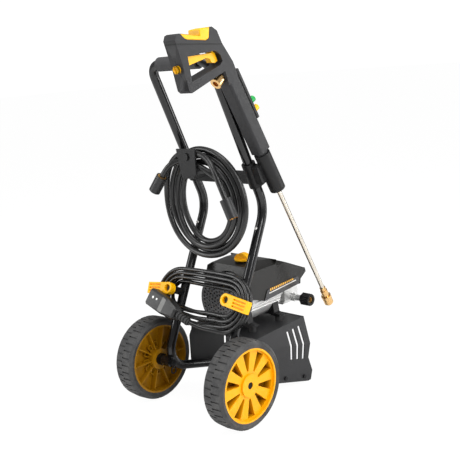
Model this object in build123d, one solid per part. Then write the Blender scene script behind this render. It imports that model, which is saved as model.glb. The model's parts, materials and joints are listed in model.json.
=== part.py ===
from build123d import *
import os
from math import atan2, cos, degrees, radians, sin, sqrt, tan

os.makedirs("parts", exist_ok=True)

# An electric pressure washer on two wheels, with a tube handle, a wand in a holster and two hung cords.
# Millimetres. X runs across the machine, +Y towards the user behind it, +Z up, floor at z = 0.
# Every place below is measured from the floor under the axle. save() moves it to the row's origin.
AXLE_Y = 128.5                       # the axle stands this far behind the origin

# Wheels
WHEEL_R = 101.6
TYRE_W = 58.0
WHEEL_X = 148.85                     # mid-plane of each wheel
RIM_W = 52.0
HUB_R = 25.6
AXLE_R = 8.0
SPOKES = 10
TREAD_GROOVES = 36

# Tube frame
TUBE_R = 11.0
TUBE_BORE_R = 9.45
TUBE_X = 96.0
RAIL_SLOPE = 0.279                   # rise of the skid rails towards the axle
RAIL_Y, RAIL_Z = -259.4, 17.1        # a point on the rail's centre line
RAIL_FRONT_Y = -272.0
LEG_LEAN = 0.492                     # legs lean forward by this much per unit of height
KINK_Y, KINK_Z = -173.5, 464.0       # where the legs turn back towards the user
HANDLE_LEAN = 0.41
HANDLE_Z = 806.0
JOINT_Z = 370.0                      # the upper handle plugs on here
SNAP_Z = 415.0
GRIP_R = 16.0
GRIP_HALF = 62.0

# Base saddle
DECK_Z = 165.0
SKIN = 3.0
DECK_HALF = 100.0
PANEL_HALF = 114.0
BASE_REAR_Y, BASE_FRONT_Y = -99.0, -288.0

# Motor and pump, on one axis along Y
MOTOR_Z = 238.0
MOTOR_R = 64.0
MOTOR_REAR_Y, MOTOR_FRONT_Y = -122.0, -250.0
SHAFT_R = 8.0
PUMP_FRONT_Y = -342.0
OUTLET_Y, OUTLET_Z = -322.0, 197.0
PLUNGER_R = 7.0
PLUNGER_PCD_R = 20.0

# Hood
HOOD_HALF = 76.0

# Wand
WAND_X = -130.0
WAND_SLOPE = 0.53                    # forward run of the wand per unit of drop
WAND_Y, WAND_Z = -265.0, 358.0       # a point on its axis
BARREL_R = 14.5
SLEEVE_R = 18.5
SLEEVE_BORE_R = 15.5
SHROUD_X, SHROUD_N = 33.0, 36.0      # the shroud round the barrel above the holster, across and fore-aft
LANCE_R = 5.5

# Cords
HOSE_R = 7.0
CORD_R = 4.75


def unit(y, z):
    length = sqrt(y * y + z * z)
    return (0.0, y / length, z / length)


def rod(radius, start, end):
    """A round bar between two points."""
    axis = Vector(*end) - Vector(*start)
    base = Plane(origin=start, z_dir=axis.normalized())
    return base * Cylinder(radius, axis.length, align=(Align.CENTER, Align.CENTER, Align.MIN))


def ring(outer, inner, start, end):
    """A round sleeve between two points."""
    reach = (Vector(*end) - Vector(*start)).normalized()
    return rod(outer, start, end) - rod(inner, tuple(Vector(*start) - reach), tuple(Vector(*end) + reach))


def across(outline, low_x, high_x):
    """A flat outline in the side view (y, z), given thickness from low_x to high_x."""
    face = Plane.YZ * make_face(Polyline(*outline, close=True))
    return Pos(low_x, 0, 0) * extrude(face, amount=high_x - low_x)


def along(outline, low_y, high_y):
    """A flat outline in the end view (x, z), given length from low_y to high_y."""
    face = Plane.XZ * make_face(Polyline(*outline, close=True))
    return Pos(0, high_y, 0) * extrude(face, amount=high_y - low_y)


def block(low, high):
    size = [b - a for a, b in zip(low, high)]
    return Pos(*low) * Box(*size, align=(Align.MIN, Align.MIN, Align.MIN))


def swept(points, radii, radius):
    path = FilletPolyline(*points, radius=radii)
    return sweep(Plane(origin=path @ 0, z_dir=path % 0) * Circle(radius), path=path)


def save(name, *solids):
    shape = solids[0] if len(solids) == 1 else Compound(children=list(solids))
    export_step(Pos(0, AXLE_Y, 0) * shape, f"parts/{name}.step")


def leg_y(z):
    return KINK_Y + LEG_LEAN * (KINK_Z - z)


def rail_z(y):
    return RAIL_Z + RAIL_SLOPE * (y - RAIL_Y)


def handle_y(z):
    return KINK_Y + HANDLE_LEAN * (z - KINK_Z)


def wand(z, off=0.0, x=WAND_X):
    """The point of the wand's axis at height z, moved off it towards the user by off."""
    y = WAND_Y + WAND_SLOPE * (z - WAND_Z)
    return (x, y + off * WAND_N[1], z + off * WAND_N[2])


LEG_U = unit(-LEG_LEAN, 1.0)                     # up the legs
LEG_N = (0.0, LEG_U[2], -LEG_U[1])               # square to the legs, towards the user
HANDLE_U = unit(HANDLE_LEAN, 1.0)
WAND_U = unit(WAND_SLOPE, 1.0)
WAND_N = (0.0, WAND_U[2], -WAND_U[1])

# Where the rails and the legs would meet if the tube were not bent.
BEND_Z = (RAIL_Z + RAIL_SLOPE * (KINK_Y + LEG_LEAN * KINK_Z - RAIL_Y)) / (1 + RAIL_SLOPE * LEG_LEAN)
BEND_Y = leg_y(BEND_Z)

# The plane of the legs at the cord posts: x across, y up the legs, and -z towards the user.
POST_Y, POST_Z = -71.5, 256.6
POST_PLANE = Plane(origin=(0, POST_Y, POST_Z), x_dir=(1, 0, 0), z_dir=(0, -LEG_N[1], -LEG_N[2]))


def post_point(x, up, out):
    """A point given across, up the legs from the cord posts, and out towards the user."""
    return (x, POST_Y + out * LEG_N[1] + up * LEG_U[1], POST_Z + out * LEG_N[2] + up * LEG_U[2])


def off_legs(sketch, near, far):
    """A sketch on the post plane, given depth from near to far out from the legs."""
    return extrude(POST_PLANE.offset(-far) * sketch, amount=far - near)


# ---------------------------------------------------------------- frame

AXLE_SLEEVE_R = 12.5
AXLE_SLEEVE_IN, AXLE_SLEEVE_OUT = 83.0, 113.0
SPIGOT_R = 9.35
SPIGOT_BORE_R = 7.6
SPIGOT_TOP_Z = 425.0
BUTTON_R = 3.5
RAIL_SCREW_Y = (-187.6, -259.4)
RAIL_SCREW_R = 2.4


def snap_point(x, out):
    return (x, leg_y(SNAP_Z) + out * LEG_N[1], SNAP_Z + out * LEG_N[2])


def leg_point(x, z):
    return (x, leg_y(z), z)


def lower_tube(x):
    """One skid rail and leg in one bent tube, with the axle sleeve let into the bend."""
    points = [(x, RAIL_FRONT_Y, rail_z(RAIL_FRONT_Y)), (x, BEND_Y, BEND_Z), leg_point(x, JOINT_Z)]
    tube = swept(points, [50.0], TUBE_R) - swept(points, [50.0], TUBE_BORE_R)
    collar = ring(TUBE_BORE_R + 0.2, SPIGOT_BORE_R, leg_point(x, JOINT_Z - 25), leg_point(x, JOINT_Z))
    spigot = ring(SPIGOT_R, SPIGOT_BORE_R, leg_point(x, JOINT_Z), leg_point(x, SPIGOT_TOP_Z))
    body = tube + collar + spigot
    side = 1 if x > 0 else -1
    ends = (side * AXLE_SLEEVE_IN, 0, WHEEL_R), (side * AXLE_SLEEVE_OUT, 0, WHEEL_R)
    body = body - rod(AXLE_SLEEVE_R - 0.3, *ends) + ring(AXLE_SLEEVE_R, AXLE_R + 0.05, *ends)
    body -= rod(BUTTON_R + 0.05, snap_point(x, 3), snap_point(x, 14))
    for y in RAIL_SCREW_Y:
        body -= rod(RAIL_SCREW_R + 0.02, (x, y, rail_z(y)), (x + side * 20, y, rail_z(y)))
    return body


def upper_handle():
    right = [leg_point(-TUBE_X, JOINT_Z), (-TUBE_X, KINK_Y, KINK_Z), (-TUBE_X, handle_y(HANDLE_Z), HANDLE_Z)]
    left = [(-x, y, z) for x, y, z in reversed(right)]
    radii = [80.0, 32.0, 32.0, 80.0]
    body = swept(right + left, radii, TUBE_R) - swept(right + left, radii, TUBE_BORE_R)
    for x in (-TUBE_X, TUBE_X):
        body -= rod(BUTTON_R + 0.05, snap_point(x, 3), snap_point(x, 14))
    return body


def snap_button(x):
    tip = snap_point(x, 12.0)
    return rod(BUTTON_R, snap_point(x, 4.0), tip) + Pos(*tip) * Sphere(BUTTON_R)


def handle_grip():
    y = handle_y(HANDLE_Z)
    return ring(GRIP_R, TUBE_R + 0.02, (-GRIP_HALF, y, HANDLE_Z), (GRIP_HALF, y, HANDLE_Z))


# ---------------------------------------------------------------- base

CREASE_Z = 95.0                      # height of the panels' crease at the front edge
CREASE_RISE = 0.235


def saddle_section(half, crease_half, deck_z):
    """A solid of the saddle's outer or inner section, whose crease rises towards the rear."""
    outline = [(-crease_half, -90), (crease_half, -90), (crease_half, CREASE_Z), (half, DECK_Z),
               (half * 0.3, DECK_Z + 260), (-half * 0.3, DECK_Z + 260), (-half, DECK_Z), (-crease_half, CREASE_Z)]
    face = Plane(origin=(0, -291, 0), x_dir=(1, 0, 0), z_dir=(0, -1, 0)) * make_face(Polyline(*outline, close=True))
    face = Pos(0, -20, -20 * CREASE_RISE) * face
    solid = extrude(face, amount=240, dir=(0, 1, CREASE_RISE))
    return solid & block((-200, -320, -1), (200, -60, deck_z))


def base():
    """The moulded saddle: deck, two creased side panels with slots, open front and rear."""
    outer = saddle_section(DECK_HALF, PANEL_HALF, DECK_Z)
    inner = saddle_section(DECK_HALF - SKIN, PANEL_HALF - SKIN, DECK_Z - SKIN)
    side = [(BASE_REAR_Y, 170), (BASE_FRONT_Y, 170), (BASE_FRONT_Y, DECK_Z), (-291, 95), (-280, 61), (-293, 22.5),
            (-285, 0), (-274, 0), (-169, 32), (-90, 55), (-92, 134), (BASE_REAR_Y, 150)]
    body = (outer - inner) & across(side, -200, 200)
    lip_x = DECK_HALF - 8
    for y in (BASE_REAR_Y - SKIN, BASE_FRONT_Y):
        body += block((-lip_x, y, DECK_Z - 10), (lip_x, y + SKIN, DECK_Z - 1))
    for top_y, mid_y, mid_z, low_y, low_z in ((-214, -217.5, 108, -215.5, 78), (-237, -241, 104, -237.5, 72),
                                              (-260, -265, 101, -259, 66)):
        for a, b in (((top_y, 146), (mid_y, mid_z)), ((mid_y, mid_z), (low_y, low_z))):
            body -= across(slot_outline(a, b, 8.6), -200, 200)
    for y in RAIL_SCREW_Y:
        body -= rod(RAIL_SCREW_R + 0.02, (-150, y, rail_z(y)), (150, y, rail_z(y)))
    return body


def slot_outline(a, b, width):
    """A thin four-sided outline from a to b in the side view."""
    run = Vector(b[0] - a[0], b[1] - a[1]).normalized()
    dy, dz = -run.Y * width / 2, run.X * width / 2
    ey, ez = run.X * width / 4, run.Y * width / 4
    return [(a[0] - ey + dy, a[1] - ez + dz), (b[0] + ey + dy, b[1] + ez + dz),
            (b[0] + ey - dy, b[1] + ez - dz), (a[0] - ey - dy, a[1] - ez - dz)]


# ---------------------------------------------------------------- wheels

RIM_SHELL_R = 84.0                   # the tyre's bore
HUB_BORE_R = AXLE_R + 0.05
SPOKE_FACE, WEB_BACK = 19.0, -4.0      # outer face of the spokes and inner face of the web between them
POCKET_R = 76.0
CELLS = 12


def rim():
    """One wheel centre, made round the Z axis with its outer face up, centred on the wheel's mid-plane."""
    body = Cylinder(RIM_SHELL_R, RIM_W) - Cylinder(RIM_SHELL_R - 4.5, RIM_W + 2)
    body += Pos(0, 0, (SPOKE_FACE + WEB_BACK) / 2) * Cylinder(RIM_SHELL_R - 2, SPOKE_FACE - WEB_BACK)
    pocket = Polyline((32, 2.5), (POCKET_R, 11.5), (POCKET_R, -11.5), (32, -2.5), close=True)
    pocket = Pos(0, 0, WEB_BACK + 3) * extrude(make_face(pocket), amount=40)
    body -= [Rot(0, 0, 360 / SPOKES * index) * pocket for index in range(SPOKES)]
    body += Cylinder(HUB_R, RIM_W - 4)
    rib = Pos((HUB_R + RIM_SHELL_R - 4) / 2, 0, (WEB_BACK - 20) / 2) * Box(RIM_SHELL_R - HUB_R, 2.6, WEB_BACK + 20)
    body += [Rot(0, 0, 180 / SPOKES * (2 * index + 1)) * rib for index in range(SPOKES)]
    for index in range(CELLS):
        cell = extrude(RectangleRounded(17, 12, 4) - RectangleRounded(12, 7, 2.5), amount=WEB_BACK + 12)
        body += Rot(0, 0, 360 / CELLS * index) * Pos(HUB_R + 9, 0, -12) * cell
    return body - Cylinder(HUB_BORE_R, RIM_W + 4)


def tyre():
    """One tyre round the Z axis, with a shallow groove across the tread at every pitch."""
    half = TYRE_W / 2
    section = Polyline((RIM_SHELL_R, -half + 3), (WHEEL_R - 9, -half), (WHEEL_R - 1.5, -half + 7), (WHEEL_R, 0),
                       (WHEEL_R - 1.5, half - 7), (WHEEL_R - 9, half), (RIM_SHELL_R, half - 3), close=True)
    body = revolve(Plane.XZ * make_face(section), Axis.Z)
    grooves = []
    for index in range(TREAD_GROOVES):
        turn = 360 / TREAD_GROOVES * index
        for side in (-1, 1):
            cut = Pos(WHEEL_R, 0, side * half / 2) * Box(6, 3.2, half + 1)
            grooves.append(Rot(0, 0, turn + side * 2.5) * cut)
    return body - grooves


def stand_wheel(shape, side):
    """Turns a wheel piece from the Z axis to the axle, outer face outwards."""
    return Pos(side * WHEEL_X, 0, WHEEL_R) * Rot(0, side * 90, 0) * shape


def stub_axle(side):
    head_x = WHEEL_X + RIM_W / 2 - 6
    shaft = rod(AXLE_R, (side * 76, 0, WHEEL_R), (side * (head_x + 2), 0, WHEEL_R))
    washer = ring(AXLE_R + 6, AXLE_R - 0.2, (side * (AXLE_SLEEVE_OUT + 0.2), 0, WHEEL_R),
                  (side * (WHEEL_X - RIM_W / 2 - 0.3 + 2), 0, WHEEL_R))
    return shaft + washer - rod(1.7, (side * 79, 0, WHEEL_R - 20), (side * 79, 0, WHEEL_R + 20))


def hitch_pin(side):
    """The pin across the inner end of an axle, with its ring hanging down."""
    x = side * 79
    pin = rod(1.6, (x, 0, WHEEL_R - 14), (x, 0, WHEEL_R + 13))
    loop = Pos(x, 0, WHEEL_R - 20) * Rot(0, 90, 0) * Torus(7, 1.4)
    return pin + loop


# ---------------------------------------------------------------- motor

FOOT_YS = (-134.0, -232.0)
MOUNT_X = 66.0
MOUNT_H = 13.0


def motor_point(y, radius=0.0, angle=0.0):
    return (radius * sin(radians(angle)), y, MOTOR_Z + radius * cos(radians(angle)))


def motor_disc(outer, inner, rear_y, front_y):
    return ring(outer, inner, motor_point(rear_y), motor_point(front_y))


def rubber_mount(x, y):
    top = DECK_Z + MOUNT_H
    return rod(9, (x, y, DECK_Z), (x, y, top)) - rod(6.5, (x, y, DECK_Z + 4), (x, y, DECK_Z + 9)) \
        + rod(6.6, (x, y, DECK_Z + 3.9), (x, y, DECK_Z + 9.1))


def motor_foot(y):
    """A saddle foot under the housing, standing on two rubber mounts."""
    top = DECK_Z + MOUNT_H
    outline = [(-78, top), (78, top), (78, top + 5), (62, top + 8), (58, top + 34), (-58, top + 34), (-62, top + 8),
               (-78, top + 5)]
    body = along(outline, y - 10, y + 10) - rod(MOTOR_R + 0.02, motor_point(-100), motor_point(-260))
    return body - block((-50, y - 30, top - 1), (50, y + 30, top + 3))


def motor_housing():
    """The extruded ribbed housing with its rear flange, front wall and the bearing seats."""
    body = motor_disc(MOTOR_R, MOTOR_R - 4, MOTOR_REAR_Y, MOTOR_FRONT_Y)
    body += motor_disc(MOTOR_R, 19.02, -246, MOTOR_FRONT_Y)
    body += motor_disc(MOTOR_R - 3, 19.02, -134, -128)
    for side in (-1, 1):
        for angle in range(48, 113, 8):
            fin = rod(1.8, motor_point(MOTOR_REAR_Y - 2, MOTOR_R + 1, side * angle),
                      motor_point(MOTOR_FRONT_Y + 2, MOTOR_R + 1, side * angle))
            body += fin
    return body + motor_disc(MOTOR_R + 3, MOTOR_R - 4, MOTOR_REAR_Y + 7, MOTOR_REAR_Y)


def fan_cowl():
    """The cowl over the fan, with rings of round holes in its rear face."""
    body = motor_disc(MOTOR_R, MOTOR_R - 3, -102, MOTOR_REAR_Y + 7) + rod(MOTOR_R, motor_point(-99), motor_point(-102))
    holes = [rod(2.6, motor_point(-98), motor_point(-103))]
    for row in range(1, 7):
        for index in range(6 * row):
            spot = 9.0 * row, 60.0 / row * index
            holes.append(rod(2.6, motor_point(-98, *spot), motor_point(-103, *spot)))
    return body - holes


def stator():
    return motor_disc(MOTOR_R - 4, 30, -145, -235)


def rotor():
    shaft = rod(SHAFT_R, motor_point(-106), motor_point(-262))
    return shaft + motor_disc(29.4, SHAFT_R - 0.2, -145, -235)


def cooling_fan():
    body = motor_disc(14, SHAFT_R, -108, -120) + motor_disc(54, 10, -118, -120)
    for index in range(9):
        blade = Pos(33, 0, 0) * Box(40, 1.6, 8)
        body += Pos(0, -113.5, MOTOR_Z) * Rot(90, 0, 0) * Rot(0, 0, 40 * index) * blade
    return body


def bearing(rear_y, front_y):
    return motor_disc(19.0, SHAFT_R + 0.02, rear_y, front_y)


# ---------------------------------------------------------------- pump

SWASH_TILT = 7.0
HEAD_REAR_Y = -288.0
PLUNGER_ANGLES = (60, 180, 300)
PLUNGER_Y0, PLUNGER_Y1 = -276.6, -299.0
PLUNGER_BORE_END = -304.5


def pump_body():
    """The pump's crankcase, bolted to the motor's front wall."""
    body = motor_disc(56, 20, MOTOR_FRONT_Y, -256) + motor_disc(44, 36, -256, HEAD_REAR_Y)
    return body + motor_disc(44, 6, -284, HEAD_REAR_Y) - plunger_bores(-283, -289)


def plunger_bores(rear_y, front_y):
    return [rod(PLUNGER_R + 0.05, motor_point(rear_y, PLUNGER_PCD_R, a), motor_point(front_y, PLUNGER_PCD_R, a))
            for a in PLUNGER_ANGLES]


def swash_plate():
    """The wobble plate that the shaft turns, with its face tilted."""
    keep = Pos(0, -267, MOTOR_Z) * Rot(SWASH_TILT, 0, 0) * Box(90, 10, 90)
    body = rod(32, motor_point(-257), motor_point(-280)) & keep
    return body + rod(14, motor_point(-257), motor_point(-267)) - rod(SHAFT_R, motor_point(-250), motor_point(-262))


def plunger(angle):
    return rod(PLUNGER_R, motor_point(PLUNGER_Y0, PLUNGER_PCD_R, angle), motor_point(PLUNGER_Y1, PLUNGER_PCD_R, angle))


def pump_head():
    """The pump's manifold block with the outlet stub on the user's right."""
    outline = [(-34, 184), (34, 184), (42, 194), (42, 262), (30, 272), (-30, 272), (-42, 262), (-42, 194)]
    body = along(outline, PUMP_FRONT_Y, HEAD_REAR_Y)
    body -= block((-60, PUMP_FRONT_Y - 1, 236), (60, -307, 300))
    body -= plunger_bores(-287, PLUNGER_BORE_END)
    body += rod(11, (-40, OUTLET_Y, OUTLET_Z), (-52, OUTLET_Y, OUTLET_Z))
    body += rod(8, (-50, OUTLET_Y, OUTLET_Z), (-96, OUTLET_Y, OUTLET_Z))
    body -= rod(4.5, (-41, OUTLET_Y, OUTLET_Z), (-100, OUTLET_Y, OUTLET_Z))
    return body - rod(11.02, (30, OUTLET_Y, OUTLET_Z), (50, OUTLET_Y, OUTLET_Z))


def outlet_nut():
    """The knurled swivel nut on the outlet."""
    ends = (-74, OUTLET_Y, OUTLET_Z), (-100, OUTLET_Y, OUTLET_Z)
    body = ring(14.5, 8.05, *ends)
    for index in range(8):
        angle = radians(45 * index)
        y, z = OUTLET_Y + 14 * cos(angle), OUTLET_Z + 14 * sin(angle)
        body += rod(2.6, (-75, y, z), (-96, y, z))
    return body


def inlet_fitting():
    """The garden-hose coupling on the far side of the pump."""
    body = rod(11, (30, OUTLET_Y, OUTLET_Z), (60, OUTLET_Y, OUTLET_Z))
    body += rod(16, (52, OUTLET_Y, OUTLET_Z), (78, OUTLET_Y, OUTLET_Z))
    return body - rod(12.5, (58, OUTLET_Y, OUTLET_Z), (80, OUTLET_Y, OUTLET_Z))


# ---------------------------------------------------------------- hood

KNOB_X, KNOB_Y = -12.0, -178.0
GLAND_X, GLAND_Z, GLAND_R = 58.0, 297.0, 7.0
HOOD_SIDE = [(-116, 250), (-143, 320), (-185, 327), (-225, 324), (-335, 276), (-337, 266), (-315, 252), (-313, 240),
             (-295, 241), (-175, 232), (-130, 248)]


def hood_block(half, outline):
    """The hood's side view across its width, with the long upper edges cut back."""
    body = across(outline, -half, half)
    for side in (-1, 1):
        cut = [(side * (half - 30), 400), (side * (half - 30), 330), (side * (half + 1), 312), (side * (half + 60), 312),
               (side * (half + 60), 400)]
        body -= along(cut, -226, -60)
        slope = Plane(origin=(side * half, -225, 309), x_dir=(0, -1, -0.436), z_dir=(side * 0.5, 0, 1))
        body -= slope * Box(160, 80, 40, align=(Align.MIN, Align.CENTER, Align.MIN))
    return body


def hood():
    outer = hood_block(HOOD_HALF, HOOD_SIDE)
    inner_side = [(-121, 215), (-121, 251), (-146, 317), (-185, 323.5), (-224, 320.5), (-331, 274), (-332, 268),
                  (-312, 254), (-309.5, 215)]
    inner = hood_block(HOOD_HALF - SKIN, inner_side)
    body = outer - inner
    body -= rod(MOTOR_R + 4.5, motor_point(-60), motor_point(-200))
    body -= rod(5.05, (KNOB_X, KNOB_Y, 300), (KNOB_X, KNOB_Y, 340))
    return body - rod(GLAND_R + 0.02, (GLAND_X, -100, GLAND_Z), (GLAND_X, -170, GLAND_Z))


def side_plate(side):
    outline = [(-172, 233), (-184, 256), (-190, 258), (-300, 262), (-306, 258), (-303, 243), (-296, 241.5)]
    low, high = sorted((side * (HOOD_HALF + 0.05), side * (HOOD_HALF + 2.2)))
    return across(outline, low, high)


def power_knob():
    """The half-round turning knob on top of the hood."""
    base_z = 327.3
    body = rod(22, (KNOB_X, KNOB_Y, base_z), (KNOB_X, KNOB_Y, base_z + 3))
    dome = Pos(KNOB_X, KNOB_Y, base_z - 9) * Rot(90, 0, 0) * Cylinder(26, 15)
    dome &= block((KNOB_X - 40, KNOB_Y - 40, base_z + 2), (KNOB_X + 40, KNOB_Y + 40, base_z + 17))
    return body + dome + rod(5, (KNOB_X, KNOB_Y, 318.2), (KNOB_X, KNOB_Y, base_z + 1))


def power_switch():
    return block((KNOB_X - 22, KNOB_Y - 16, 304.5), (KNOB_X + 22, KNOB_Y + 16, 318))


def cord_gland():
    """The strain relief where the power cord leaves the hood's rear face."""
    body = rod(GLAND_R, (GLAND_X, -146, GLAND_Z), (GLAND_X, -123, GLAND_Z))
    body += rod(GLAND_R + 2.5, (GLAND_X, -129.5, GLAND_Z), (GLAND_X, -126.0, GLAND_Z))
    body -= rod(CORD_R + 0.05, (GLAND_X, -150, GLAND_Z), (GLAND_X, -120, GLAND_Z))
    return body - rod(CORD_R + 1.2, (GLAND_X, -137, GLAND_Z), (GLAND_X, -120, GLAND_Z))


# ---------------------------------------------------------------- cord posts and hooks

POST_R = 9.0
HOOK_NEAR, HOOK_FAR = 42.6, 59.0
HOOK_HALF = 14.5
HOOK_REACH = 67.0
HOOK_TILT = 7.0


def hook_post(x):
    """A round post from the leg to the hook, hollowed to sit on the tube."""
    body = rod(POST_R, post_point(x, 0, 4), post_point(x, 0, 42.4))
    body -= rod(TUBE_R + 0.02, leg_point(x, 200), leg_point(x, 320))
    return body - rod(2.52, post_point(x, 0, 12), post_point(x, 0, 60))


def cord_hook(side):
    """The turning hook: a boss with a screw recess and a ribbed arm that points outwards."""
    boss = Circle(HOOK_HALF)
    arm = Pos(side * HOOK_REACH / 2, 0) * Rectangle(HOOK_REACH, 2 * HOOK_HALF - 1)
    tilt = Rot(0, 0, -side * HOOK_TILT)
    outline = Pos(side * TUBE_X, 0) * (tilt * (boss + arm))
    body = off_legs(outline, HOOK_NEAR, HOOK_FAR)
    middle = Pos(side * TUBE_X, 0)
    body -= off_legs(middle * Circle(8.5), HOOK_NEAR + 6, HOOK_FAR + 1)
    body -= off_legs(middle * Circle(2.55), HOOK_NEAR - 1, HOOK_FAR + 1)
    for row in (-7.5, 0, 7.5):
        groove = Pos(side * 43, row) * Rectangle(38, 3.4)
        body -= off_legs(middle * (tilt * groove), HOOK_FAR - 4, HOOK_FAR + 1)
    return body


def hook_screw(x):
    return rod(2.5, post_point(x, 0, 14), post_point(x, 0, HOOK_NEAR + 6.5)) \
        + rod(6, post_point(x, 0, HOOK_NEAR + 6.5), post_point(x, 0, HOOK_NEAR + 10))


def rail_screw(side, y):
    x = side * PANEL_HALF
    return rod(RAIL_SCREW_R, (side * (TUBE_X + 6), y, rail_z(y)), (x + side * 1, y, rail_z(y))) \
        + rod(5, (x + side * 0.05, y, rail_z(y)), (x + side * 3, y, rail_z(y)))


# ---------------------------------------------------------------- bracket, hanger and holster

BEAM_Z = 538.0
CLAMP_Z = 546.0
HANGER_X = 32.0


def handle_plane(z):
    """A plane square to the handle's tubes, with its x across and its y towards the user."""
    return Plane(origin=(0, handle_y(z), z), x_dir=(1, 0, 0), z_dir=HANDLE_U)


def cross_bracket():
    """The moulded beam between the handle's tubes, with a clamp round each."""
    plane = handle_plane(BEAM_Z)
    body = plane * Box(2 * TUBE_X, 16, 26)
    for side in (-1, 1):
        clamp = handle_plane(CLAMP_Z) * (Pos(side * TUBE_X, 0, 0) * Cylinder(TUBE_R + 5, 60 if side < 0 else 34))
        body += clamp
    for side in (-1, 1):
        body -= handle_plane(BEAM_Z) * (Pos(side * TUBE_X, 0, 0) * Cylinder(TUBE_R + 0.02, 200))
    return body


def hose_hanger():
    """The arm under the hose coil and the plate that keeps the coil on it."""
    arm = block((HANGER_X - 19, -134.0, 543), (HANGER_X + 19, -62, 551))
    arm -= handle_plane(BEAM_Z) * Box(400, 16.04, 26.04)
    plate = [(HANGER_X - 26, 552), (HANGER_X + 20, 543), (HANGER_X + 34, 612), (HANGER_X - 28, 612)]
    body = arm + along(plate, -66, -61)
    boss = rod(9, (HANGER_X + 2, -62, 594), (HANGER_X + 2, -57, 594))
    return body + boss


def lance_holster():
    """The sleeve that the wand's barrel drops into, with its arm to the clamp."""
    top, low = wand(596), wand(508)
    body = rod(SLEEVE_R, low, top)
    arm = handle_plane(CLAMP_Z) * (Pos(-TUBE_X - 20, 0, 2) * Box(24, 20, 44))
    body += arm - handle_plane(CLAMP_Z) * (Pos(-TUBE_X, 0, 0) * Cylinder(TUBE_R + 5.02, 120))
    body -= rod(SLEEVE_BORE_R, wand(515), wand(620))
    return body - rod(13.5, wand(490), wand(520))


# ---------------------------------------------------------------- wand

GUN_HALF = 17.0
GUN_OUTLINE = [(109, 848), (105, 858), (98, 861), (40, 855.5), (40, 868), (20, 871), (5, 872), (-9, 864), (-21, 839),
               (-50, 800), (-62, 772), (-34, 752), (-24, 782), (33, 761), (75, 745), (82, 750), (92, 793)]
GUN_OPENING = [(79, 818), (0, 824), (-13, 816), (-19, 803), (-11, 795), (72, 767)]
TRIGGER_OUTLINE = [(76.5, 816), (2, 820.5), (-9, 816), (-14, 804), (-7, 800), (3, 801), (8, 809), (18, 811),
                   (68, 799), (74, 799)]
TRIGGER_PIVOT = (-4.0, 829.0)
TRIGGER_LUG = [(-8.5, 814), (-9, 829), (1, 829), (3, 816)]
INLAY_OUTLINE = [(94, 860.62), (83, 851), (76, 848.5), (24, 845.5), (16, 849), (12, 871.53), (20, 871), (40, 868),
                 (40, 855.5)]
LOCK_Y, LOCK_Z = 93.0, 793.0
INLET_DIR = unit(0.80, -0.60)
INLET_END = (-10.0, 757.0)
BARREL_END_Z = 520.0


def wand_piece(outline, half):
    return across(outline, WAND_X - half, WAND_X + half)


def inlet_point(back):
    return (WAND_X, INLET_END[0] - back * INLET_DIR[1], INLET_END[1] - back * INLET_DIR[2])


def shroud(gap):
    """The box-shaped shroud round the barrel, grown by a gap."""
    section = RectangleRounded(SHROUD_X + 2 * gap, SHROUD_N + 2 * gap, 6.5)
    return Plane(origin=wand(602), x_dir=(1, 0, 0), z_dir=WAND_U) * extrude(section, amount=220)


def gun_body():
    """The gun's moulded shell and the barrel shroud, with the trigger's pivot pin in it."""
    body = wand_piece(GUN_OUTLINE, GUN_HALF) + rod(BARREL_R, wand(BARREL_END_Z), wand(610)) + shroud(0.0)
    body -= wand_piece(GUN_OPENING, GUN_HALF + 1)
    pocket = [(80, 817), (80, 833), (2, 836), (-12, 836), (-15, 821), (-15, 800), (0, 800), (0, 818)]
    body -= wand_piece(pocket, 7.6)
    body -= wand_piece(INLAY_OUTLINE, GUN_HALF + 1)
    body -= rod(LANCE_R + 0.02, wand(BARREL_END_Z - 5), wand(570))
    body -= rod(10.02, inlet_point(-1), inlet_point(24))
    body += rod(2.5, (WAND_X - 10, *TRIGGER_PIVOT), (WAND_X + 10, *TRIGGER_PIVOT))
    lock_in = (WAND_X, LOCK_Y - 13, LOCK_Z + 3)
    lock_out = (WAND_X, LOCK_Y + 12, LOCK_Z - 3)
    return body - rod(8.05, lock_in, lock_out)


def grip_inlay():
    """The coloured inlay along the palm side of the grip."""
    return wand_piece(INLAY_OUTLINE, GUN_HALF)


def trigger():
    body = wand_piece(TRIGGER_OUTLINE, 7.0) + wand_piece(TRIGGER_LUG, 7.0)
    boss = rod(5.2, (WAND_X - 7, *TRIGGER_PIVOT), (WAND_X + 7, *TRIGGER_PIVOT))
    return body + boss - rod(2.55, (WAND_X - 9, *TRIGGER_PIVOT), (WAND_X + 9, *TRIGGER_PIVOT))


def trigger_lock():
    """The slotted push button in the end of the grip that blocks the trigger."""
    body = rod(8.0, (WAND_X, LOCK_Y - 6, LOCK_Z + 1.3), (WAND_X, LOCK_Y + 6, LOCK_Z - 1.5))
    slot = Pos(WAND_X, LOCK_Y + 6, LOCK_Z - 1.5) * Rot(degrees(atan2(-2.8, 12)), 0, 0) * Box(2.4, 3.2, 18)
    return body - slot


def gun_inlet():
    """The brass hose coupling on the gun."""
    body = rod(10.0, inlet_point(23.8), inlet_point(8)) + rod(12.5, inlet_point(15), inlet_point(0))
    return body - rod(6.5, inlet_point(12), inlet_point(-1))


LANCE_TIP_Z = 224.0


def lance_tube():
    return rod(LANCE_R, wand(LANCE_TIP_Z), wand(568))


def qc_body():
    """The quick-connect socket on the end of the lance."""
    body = rod(9.0, wand(184), wand(LANCE_TIP_Z)) + rod(7.5, wand(LANCE_TIP_Z), wand(232))
    body -= rod(LANCE_R + 0.02, wand(LANCE_TIP_Z), wand(240))
    return body - rod(5.8, wand(180), wand(206))


def qc_collar():
    """The sprung collar that frees the nozzle tip when it slides back."""
    body = ring(11.8, 9.05, wand(187), wand(208))
    return body + ring(12.4, 9.05, wand(201), wand(208))


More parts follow.
